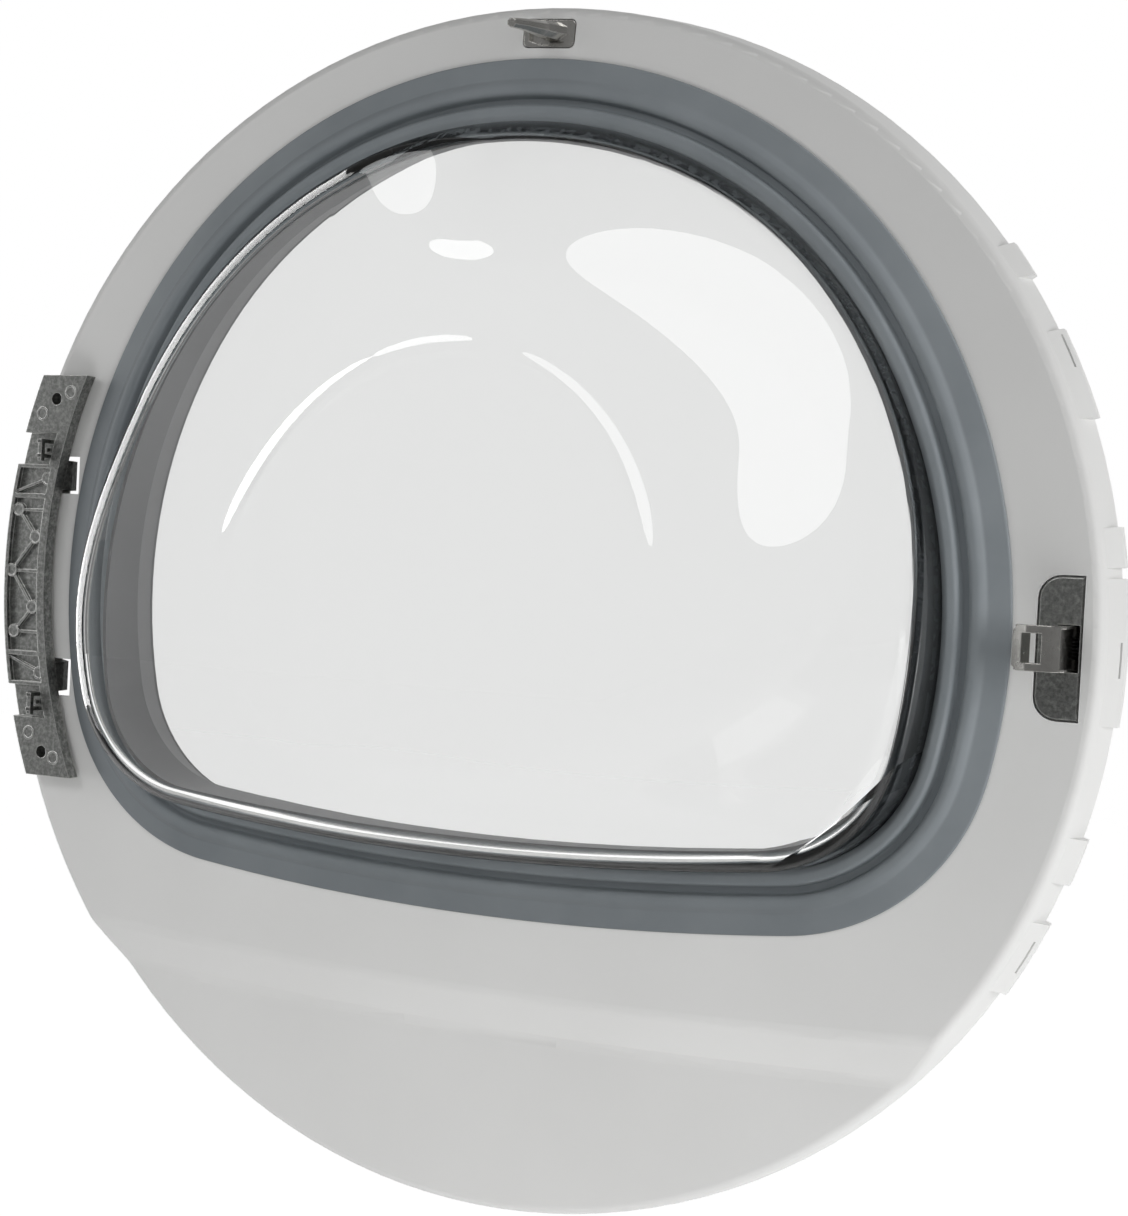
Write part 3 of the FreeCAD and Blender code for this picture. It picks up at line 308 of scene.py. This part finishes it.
class Look:
    """A procedural material: one Principled shader, with helpers that wire textures into it."""

    def __init__(self, name, **values):
        self.material = bpy.data.materials.new(name)
        self.material.use_nodes = True
        self.tree = self.material.node_tree
        self.shader = self.tree.nodes["Principled BSDF"]
        for socket, value in values.items():
            self.shader.inputs[socket.replace("_", " ")].default_value = value
        self.place = self.add("ShaderNodeTexCoord").outputs["Object"]

    def add(self, kind, **settings):
        node = self.tree.nodes.new(kind)
        for key, value in settings.items():
            setattr(node, key, value)
        return node

    def noise(self, size_mm, detail=4.0, rough=0.55):
        """Noise whose blotches are about size_mm across."""
        node = self.add("ShaderNodeTexNoise")
        self.tree.links.new(self.place, node.inputs["Vector"])
        node.inputs["Scale"].default_value = 1000.0 / size_mm
        node.inputs["Detail"].default_value = detail
        node.inputs["Roughness"].default_value = rough
        return node.outputs["Fac"]

    def ramp(self, source, stops):
        """Maps a factor to grey levels or colours at the given stops."""
        node = self.add("ShaderNodeValToRGB")
        self.tree.links.new(source, node.inputs["Fac"])
        points = node.color_ramp.elements
        for k, (at, colour) in enumerate(stops):
            point = points[k] if k < 2 else points.new(at)
            point.position = at
            grey = isinstance(colour, float)
            point.color = ((colour,) * 3 if grey else tuple(colour)) + (1.0,)
        return node.outputs["Color"]

    def rounded_normal(self, radius_mm):
        """Surface direction with the sharp edges rounded off."""
        bevel = self.add("ShaderNodeBevel", samples=BEVEL_SAMPLES)
        bevel.inputs["Radius"].default_value = radius_mm / 1000.0
        return bevel.outputs["Normal"]

    def edges(self, radius_mm, low, high):
        """Mask that rises along the sharp edges of the piece."""
        dot = self.add("ShaderNodeVectorMath", operation="DOT_PRODUCT")
        self.tree.links.new(self.rounded_normal(radius_mm), dot.inputs[0])
        self.tree.links.new(self.add("ShaderNodeNewGeometry").outputs["Normal"], dot.inputs[1])
        fade = self.add("ShaderNodeMapRange")
        self.tree.links.new(dot.outputs["Value"], fade.inputs["Value"])
        fade.inputs["From Min"].default_value = high
        fade.inputs["From Max"].default_value = low
        return fade.outputs["Result"]

    def blend(self, mask, base, colour):
        """The base colour with a second colour laid over it by the mask."""
        node = self.add("ShaderNodeMix", data_type="RGBA")
        self.tree.links.new(mask, node.inputs["Factor"])
        self.tree.links.new(base, node.inputs["A"])
        node.inputs["B"].default_value = tuple(colour) + (1.0,)
        return node.outputs["Result"]

    def radius(self, centre_xz, stretch_x):
        """Distance in millimetres from a line along Y, with X stretched."""
        shift = self.add("ShaderNodeVectorMath", operation="SUBTRACT")
        self.tree.links.new(self.place, shift.inputs[0])
        shift.inputs[1].default_value = row(centre_xz[0], 0.0, centre_xz[1])
        scale = self.add("ShaderNodeVectorMath", operation="MULTIPLY")
        self.tree.links.new(shift.outputs["Vector"], scale.inputs[0])
        scale.inputs[1].default_value = (1000.0 * stretch_x, 0.0, 1000.0)
        length = self.add("ShaderNodeVectorMath", operation="LENGTH")
        self.tree.links.new(scale.outputs["Vector"], length.inputs[0])
        return length.outputs["Value"]

    def along(self, way):
        """Millimetres along one direction of the row frame."""
        node = self.add("ShaderNodeVectorMath", operation="DOT_PRODUCT")
        self.tree.links.new(self.place, node.inputs[0])
        node.inputs[1].default_value = tuple(1000.0 * w for w in way)
        return node.outputs["Value"]

    def step(self, source, start, end, low, high, shape="SMOOTHSTEP"):
        """Change from low to high while the source goes from start to end."""
        node = self.add("ShaderNodeMapRange", interpolation_type=shape)
        self.tree.links.new(source, node.inputs["Value"])
        for socket, value in zip(("From Min", "From Max", "To Min", "To Max"), (start, end, low, high)):
            node.inputs[socket].default_value = value
        return node.outputs["Result"]

    def math(self, operation, first, second):
        """One math step on a socket and a socket or number."""
        node = self.add("ShaderNodeMath", operation=operation)
        for k, value in enumerate((first, second)):
            if isinstance(value, float):
                node.inputs[k].default_value = value
            else:
                self.tree.links.new(value, node.inputs[k])
        return node.outputs["Value"]

    def feed(self, source, socket):
        """Links a source to one of the shader's sockets."""
        self.tree.links.new(source, self.shader.inputs[socket])

    def bump(self, source, depth_mm, strength=1.0, edge_mm=0.0):
        """Relief from a height; edge_mm also rounds the sharp edges in the shading."""
        node = self.add("ShaderNodeBump")
        if edge_mm:
            self.tree.links.new(self.rounded_normal(edge_mm), node.inputs["Normal"])
        node.inputs["Distance"].default_value = depth_mm / 1000.0
        node.inputs["Strength"].default_value = strength
        self.tree.links.new(source, node.inputs["Height"])
        self.feed(node.outputs["Normal"], "Normal")


def spark_grain(look, roughness):
    """Fine grain of a spark-eroded mould, in roughness and relief."""
    grain = look.noise(0.5, 2.0)
    look.feed(look.ramp(grain, ((0.2, roughness - 0.05), (0.8, roughness + 0.08))), "Roughness")
    look.bump(grain, 0.02, 0.5)


def moulded_plastic(name, low, high, roughness):
    """Satin moulded plastic: nearly even colour, fine grain."""
    look = Look(name, Specular_IOR_Level=0.4)
    look.feed(look.ramp(look.noise(60.0, 2.0), ((0.3, low), (0.7, high))), "Base Color")
    spark_grain(look, roughness)
    return look.material


def tunnel_plastic(name, front, back, roughness):
    """Satin plastic funnel, painted near black on the side that faces away from the door's axis:
    painted shade for the unlit gap beside the bowl's wall.
    """
    look = Look(name, Specular_IOR_Level=0.4)
    outward = look.add("ShaderNodeVectorMath", operation="DOT_PRODUCT")
    look.tree.links.new(look.add("ShaderNodeNewGeometry").outputs["Normal"], outward.inputs[0])
    shift = look.add("ShaderNodeVectorMath", operation="SUBTRACT")
    look.tree.links.new(look.place, shift.inputs[0])
    shift.inputs[1].default_value = row(0.0, 0.0, BOWL_CENTRE_Z)
    look.tree.links.new(shift.outputs["Vector"], outward.inputs[1])
    # Mask of the outward side, which gets the near-black painted shade
    mask = look.step(outward.outputs["Value"], 0.0, 0.02, 0.0, 1.0)
    light = tuple(c * 1.1 for c in front)
    inside = look.ramp(look.noise(60.0, 2.0), ((0.3, front), (0.7, light)))
    look.feed(look.blend(mask, inside, back), "Base Color")
    spark_grain(look, roughness)
    return look.material


def cast_zinc(name):
    """Die-cast zinc: dark mottled skin, fine speckle, sharp edges painted brighter as edge wear and
    painted highlight.
    """
    look = Look(name, Metallic=1.0)
    blotch = look.noise(2.0, 8.0, 0.75)
    dark, middle, light = (0.13, 0.135, 0.13), (0.28, 0.285, 0.275), (0.58, 0.585, 0.57)
    skin = look.ramp(blotch, ((0.30, dark), (0.50, middle), (0.70, light)))
    # Sharp edges painted near white: partly edge wear, partly a painted highlight
    look.feed(look.blend(look.edges(0.6, 0.80, 0.995), skin, (0.85, 0.85, 0.83)), "Base Color")
    look.feed(look.ramp(blotch, ((0.3, 0.50), (0.7, 0.34))), "Roughness")
    look.bump(look.noise(1.0, 5.0), 0.04, 0.6, edge_mm=0.5)
    return look.material


def plated_metal(name, colour, roughness):
    """Plated steel: smooth, faintly clouded, with edges that catch the light."""
    look = Look(name, Metallic=1.0)
    dark = tuple(c * 0.86 for c in colour)
    look.feed(look.ramp(look.noise(8.0, 3.0), ((0.35, dark), (0.65, colour))), "Base Color")
    fine = look.noise(2.5, 3.0)
    look.feed(look.ramp(fine, ((0.3, roughness), (0.7, roughness + 0.06))), "Roughness")
    look.bump(fine, 0.004, 0.4, edge_mm=0.5)
    return look.material


def rubber(name):
    """Smooth blue-grey rubber with a faint dusty bloom."""
    look = Look(name, Specular_IOR_Level=0.35)
    plain, bloom = (0.220, 0.243, 0.259), (0.252, 0.276, 0.293)
    look.feed(look.ramp(look.noise(30.0, 3.0), ((0.3, plain), (0.7, bloom))), "Base Color")
    fine = look.noise(0.8, 2.0)
    look.feed(look.ramp(fine, ((0.2, 0.42), (0.8, 0.52))), "Roughness")
    look.bump(fine, 0.01, 0.4)
    return look.material


def clear_glass(name, tint):
    """Clear glass that lets lamps light what lies behind it."""
    look = Look(name, Base_Color=tint, Roughness=0.0, IOR=1.5, Transmission_Weight=1.0)
    through = look.add("ShaderNodeBsdfTransparent")
    through.inputs["Color"].default_value = tint
    mix = look.add("ShaderNodeMixShader")
    links = look.tree.links
    links.new(look.add("ShaderNodeLightPath").outputs["Is Shadow Ray"], mix.inputs[0])
    links.new(look.shader.outputs["BSDF"], mix.inputs[1])
    links.new(through.outputs["BSDF"], mix.inputs[2])
    links.new(mix.outputs["Shader"], look.tree.nodes["Material Output"].inputs["Surface"])
    return look


def flat_glass(name, tint):
    """Sheet glass with a very shallow ripple."""
    look = clear_glass(name, tint)
    look.bump(look.noise(90.0, 1.0), 0.02, 0.2)
    return look.material


def pressed_glass(name, tint):
    """Pressed glass: the mould's rolled brim and a soft ridge bend what it mirrors."""
    look = clear_glass(name, tint)
    share = look.step(look.radius(BRIM_CENTRE, BRIM_STRETCH), *BRIM_R, 0.0, 1.0, shape="LINEAR")
    brim = look.math("MULTIPLY", look.math("MULTIPLY", share, share), -BRIM_DROP)
    across = look.math("ADD", look.along((1.0, 0.0, 0.0)), HINGE_X)
    brim = look.math("MULTIPLY", brim, look.step(across, *BRIM_FADE_X, 1.0, 0.0))
    height = look.along((0.0, 0.0, 1.0))
    brim = look.math("MULTIPLY", brim, look.step(height, *BRIM_FADE_Z, 0.0, 1.0))
    beside = look.math("SUBTRACT", look.radius(RIDGE_CENTRE, RIDGE_STRETCH), RIDGE_R)
    ridge = look.step(look.math("ABSOLUTE", beside, 0.0), 0.0, RIDGE_HALF, RIDGE_RISE, 0.0)
    upper = look.step(height, *RIDGE_FADE_Z, 0.0, 1.0)
    look.bump(look.math("ADD", brim, look.math("MULTIPLY", ridge, upper)), 1.0)
    return look.material


MATERIALS = {
    "frame_plastic": moulded_plastic("frame_plastic", (0.77, 0.77, 0.76), (0.79, 0.79, 0.78), 0.5),
    "ring_plastic": moulded_plastic("ring_plastic", (0.86, 0.86, 0.86), (0.88, 0.88, 0.88), 0.3),
    "seal_rubber": rubber("seal_rubber"),
    "bowl_glass": pressed_glass("bowl_glass", (0.985, 0.99, 0.985, 1.0)),
    "pane_glass": flat_glass("pane_glass", (0.884, 0.884, 0.884, 1.0)),
    # The funnel's near-black second colour is painted shade on its outward side
    "tunnel_plastic": tunnel_plastic("tunnel_plastic", (0.185, 0.185, 0.19), (0.02, 0.02, 0.02), 0.45),
    "zinc": cast_zinc("zinc"),
    "hook_nickel": plated_metal("hook_nickel", (0.66, 0.65, 0.62), 0.22),
    "screw_steel": plated_metal("screw_steel", (0.62, 0.62, 0.62), 0.28),
    "bush_plastic": moulded_plastic("bush_plastic", (0.80, 0.80, 0.76), (0.83, 0.83, 0.79), 0.4),
}


def dress_cad_nodes():
    """Gives every CAD node the material of its slot."""
    for part in frame["record"]["subparts"]:
        node = frame["nodes"][part["node"]]
        node.data.materials.clear()
        node.data.materials.append(MATERIALS[part["material_slot"]])


def place(piece, body, slot, *nodes):
    """Gives a new piece its material and its body, and hides the CAD nodes it stands for."""
    piece.data.materials.append(MATERIALS[slot])
    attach(piece, body)
    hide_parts(*nodes)
    return piece


def light_world():
    """White backdrop around the line of sight, dim studio elsewhere."""
    world = bpy.data.worlds.new("studio")
    bpy.context.scene.world = world
    world.use_nodes = True
    nodes, links = world.node_tree.nodes, world.node_tree.links
    toward = nodes.new("ShaderNodeVectorMath")
    toward.operation = "DOT_PRODUCT"
    links.new(nodes.new("ShaderNodeTexCoord").outputs["Generated"], toward.inputs[0])
    az = math.radians(CAMERA_AZ)
    toward.inputs[1].default_value = (math.sin(az), -math.cos(az), 0.0)
    fade = nodes.new("ShaderNodeMapRange")
    fade.interpolation_type = "SMOOTHSTEP"
    links.new(toward.outputs["Value"], fade.inputs["Value"])
    fade.inputs["From Min"].default_value, fade.inputs["From Max"].default_value = BACKDROP_COS
    fade.inputs["To Min"].default_value, fade.inputs["To Max"].default_value = STUDIO_DIM, 1.0
    links.new(fade.outputs["Result"], nodes["Background"].inputs["Strength"])
    nodes["Background"].inputs["Color"].default_value = (1.0, 1.0, 1.0, 1.0)


def floor():
    """Pale floor well below the hung door; extra brightness only for what looks at it."""
    mesh = bpy.data.meshes.new("floor")
    signs = ((-1, -1), (1, -1), (1, 1), (-1, 1))
    mesh.from_pydata([(x * FLOOR_HALF, y * FLOOR_HALF, FLOOR_Z) for x, y in signs], [], [(0, 1, 2, 3)])
    piece = bpy.data.objects.new("floor", mesh)
    bpy.context.scene.collection.objects.link(piece)
    look = Look("floor", Base_Color=(FLOOR_GREY,) * 3 + (1.0,), Roughness=0.9,
                Emission_Color=(FLOOR_GLOW,) * 3 + (1.0,))
    rays = look.add("ShaderNodeLightPath").outputs
    seen = look.math("MAXIMUM", rays["Is Camera Ray"], rays["Is Glossy Ray"])
    seen = look.math("MAXIMUM", seen, rays["Is Transmission Ray"])
    behind = look.step(look.along((0.0, 1.0, 0.0)), *FLOOR_GLOW_Y, 1.0, 0.0)
    look.feed(look.math("MULTIPLY", seen, behind), "Emission Strength")
    mesh.materials.append(look.material)


def lamp(name, place_mm, aim_mm, size_m, watts, mirrored=True, shape="RECTANGLE"):
    """An area lamp turned to its aim, never seen itself except in mirrors where it is mirrored."""
    data = bpy.data.lights.new(name, "AREA")
    data.shape = shape
    data.size, data.size_y = size_m
    data.energy = watts
    light = bpy.data.objects.new(name, data)
    light.location = row(*place_mm)
    toward = Vector(row(*aim_mm)) - light.location
    light.rotation_euler = toward.to_track_quat("-Z", "Y").to_euler()
    light.visible_camera = False
    light.visible_transmission = False
    light.visible_glossy = mirrored
    bpy.context.scene.collection.objects.link(light)
    return light


def flag(light, pieces, state="INCLUDE"):
    """Shades a lamp so that it reaches these pieces alone, or all but these (EXCLUDE)."""
    group = bpy.data.collections.new(light.name + "_flag")
    light.light_linking.receiver_collection = group
    for k, piece in enumerate(pieces):
        group.objects.link(piece)
        group.collection_objects[k].light_linking.link_state = state


def aimed(az_deg, el_deg, start, reach):
    """Place at a reach from start, by its direction: from +Y towards +X, and up."""
    az, el = math.radians(az_deg), math.radians(el_deg)
    way = (math.sin(az) * math.cos(el), math.cos(az) * math.cos(el), math.sin(el))
    return tuple(p + reach * w for p, w in zip(start, way))


def softbox(name, way_deg, aim_mm, size_m, watts, pieces, reach=FAR_REACH, shape="ELLIPSE"):
    """A large lamp in one direction from its aim, which these pieces alone mirror."""
    light = lamp(name, aimed(*way_deg, aim_mm, reach), aim_mm, size_m, watts, shape=shape)
    flag(light, pieces)
    return light


def camera():
    """Camera at the photograph's place, with its roll and focal length."""
    az, el, roll = (math.radians(a) for a in (CAMERA_AZ, CAMERA_EL, CAMERA_ROLL))
    back = Vector((-math.sin(az) * math.cos(el), math.cos(az) * math.cos(el), math.sin(el)))
    right = (-back).cross(Vector((0, 0, 1))).normalized()
    up = right.cross(-back)
    side = math.cos(roll) * right + math.sin(roll) * up
    top = -math.sin(roll) * right + math.cos(roll) * up
    data = bpy.data.cameras.new("camera")
    data.lens = CAMERA_FOCAL_PX / IMAGE_H * data.sensor_width
    data.clip_start, data.clip_end = 0.01, 100.0
    piece = bpy.data.objects.new("camera", data)
    turn = Matrix((side, top, back)).transposed()
    piece.matrix_world = Matrix.Translation(row(*CAMERA_PLACE)) @ turn.to_4x4()
    bpy.context.scene.collection.objects.link(piece)
    bpy.context.scene.camera = piece


dress_cad_nodes()
bowl = place(glass_bowl(), "door", "bowl_glass", "glass_bowl")
seal = place(door_seal(), "door", "seal_rubber", "door_seal")
light_world()
floor()
metals = [frame["nodes"][name] for name in METAL_NODES]

lamp("key_light", (513, 1250, 800), FACE_AIM, (0.66, 0.36), 2.85, mirrored=False)
softbox("brim_softbox", (-4.5, 47.3), BRIM_AIM, (4.7, 4.7), 190.0, [bowl])
metal_light = softbox("metal_softbox", (3.3, 42.7), BRIM_AIM, (3.92, 2.29), 77.0, metals)
metal_light.rotation_euler.rotate_axis("Z", math.radians(-54.6))
softbox("ridge_softbox", (46.0, 41.0), RIDGE_AIM, (2.0, 1.5), 37.0, [bowl] + metals)
lamp("hinge_side_light", (1300, 500, 100), MIDDLE_AIM, (0.4, 1.2), 4.5)
softbox("rim_softbox", (84.5, 14.0), RIM_AIM, (2.7, 4.0), 240.0, [bowl], NEAR_REACH, "RECTANGLE")
lamp("lock_side_light", (-2000, 250, 250), MIDDLE_AIM, (1.6, 1.6), 27.0, mirrored=False)
low_light = lamp("low_light", (-200, 380, -600), LOWER_AIM, (0.8, 0.3), 1.95, mirrored=False)
flag(low_light, [seal], "EXCLUDE")
seal_light = lamp("seal_side_light", (-1200, 700, 150), MIDDLE_AIM, (0.5, 0.9), 5.5, mirrored=False)
seal_light.data.use_shadow = False
flag(seal_light, [seal])

camera()
bpy.context.scene.view_settings.view_transform = "Standard"
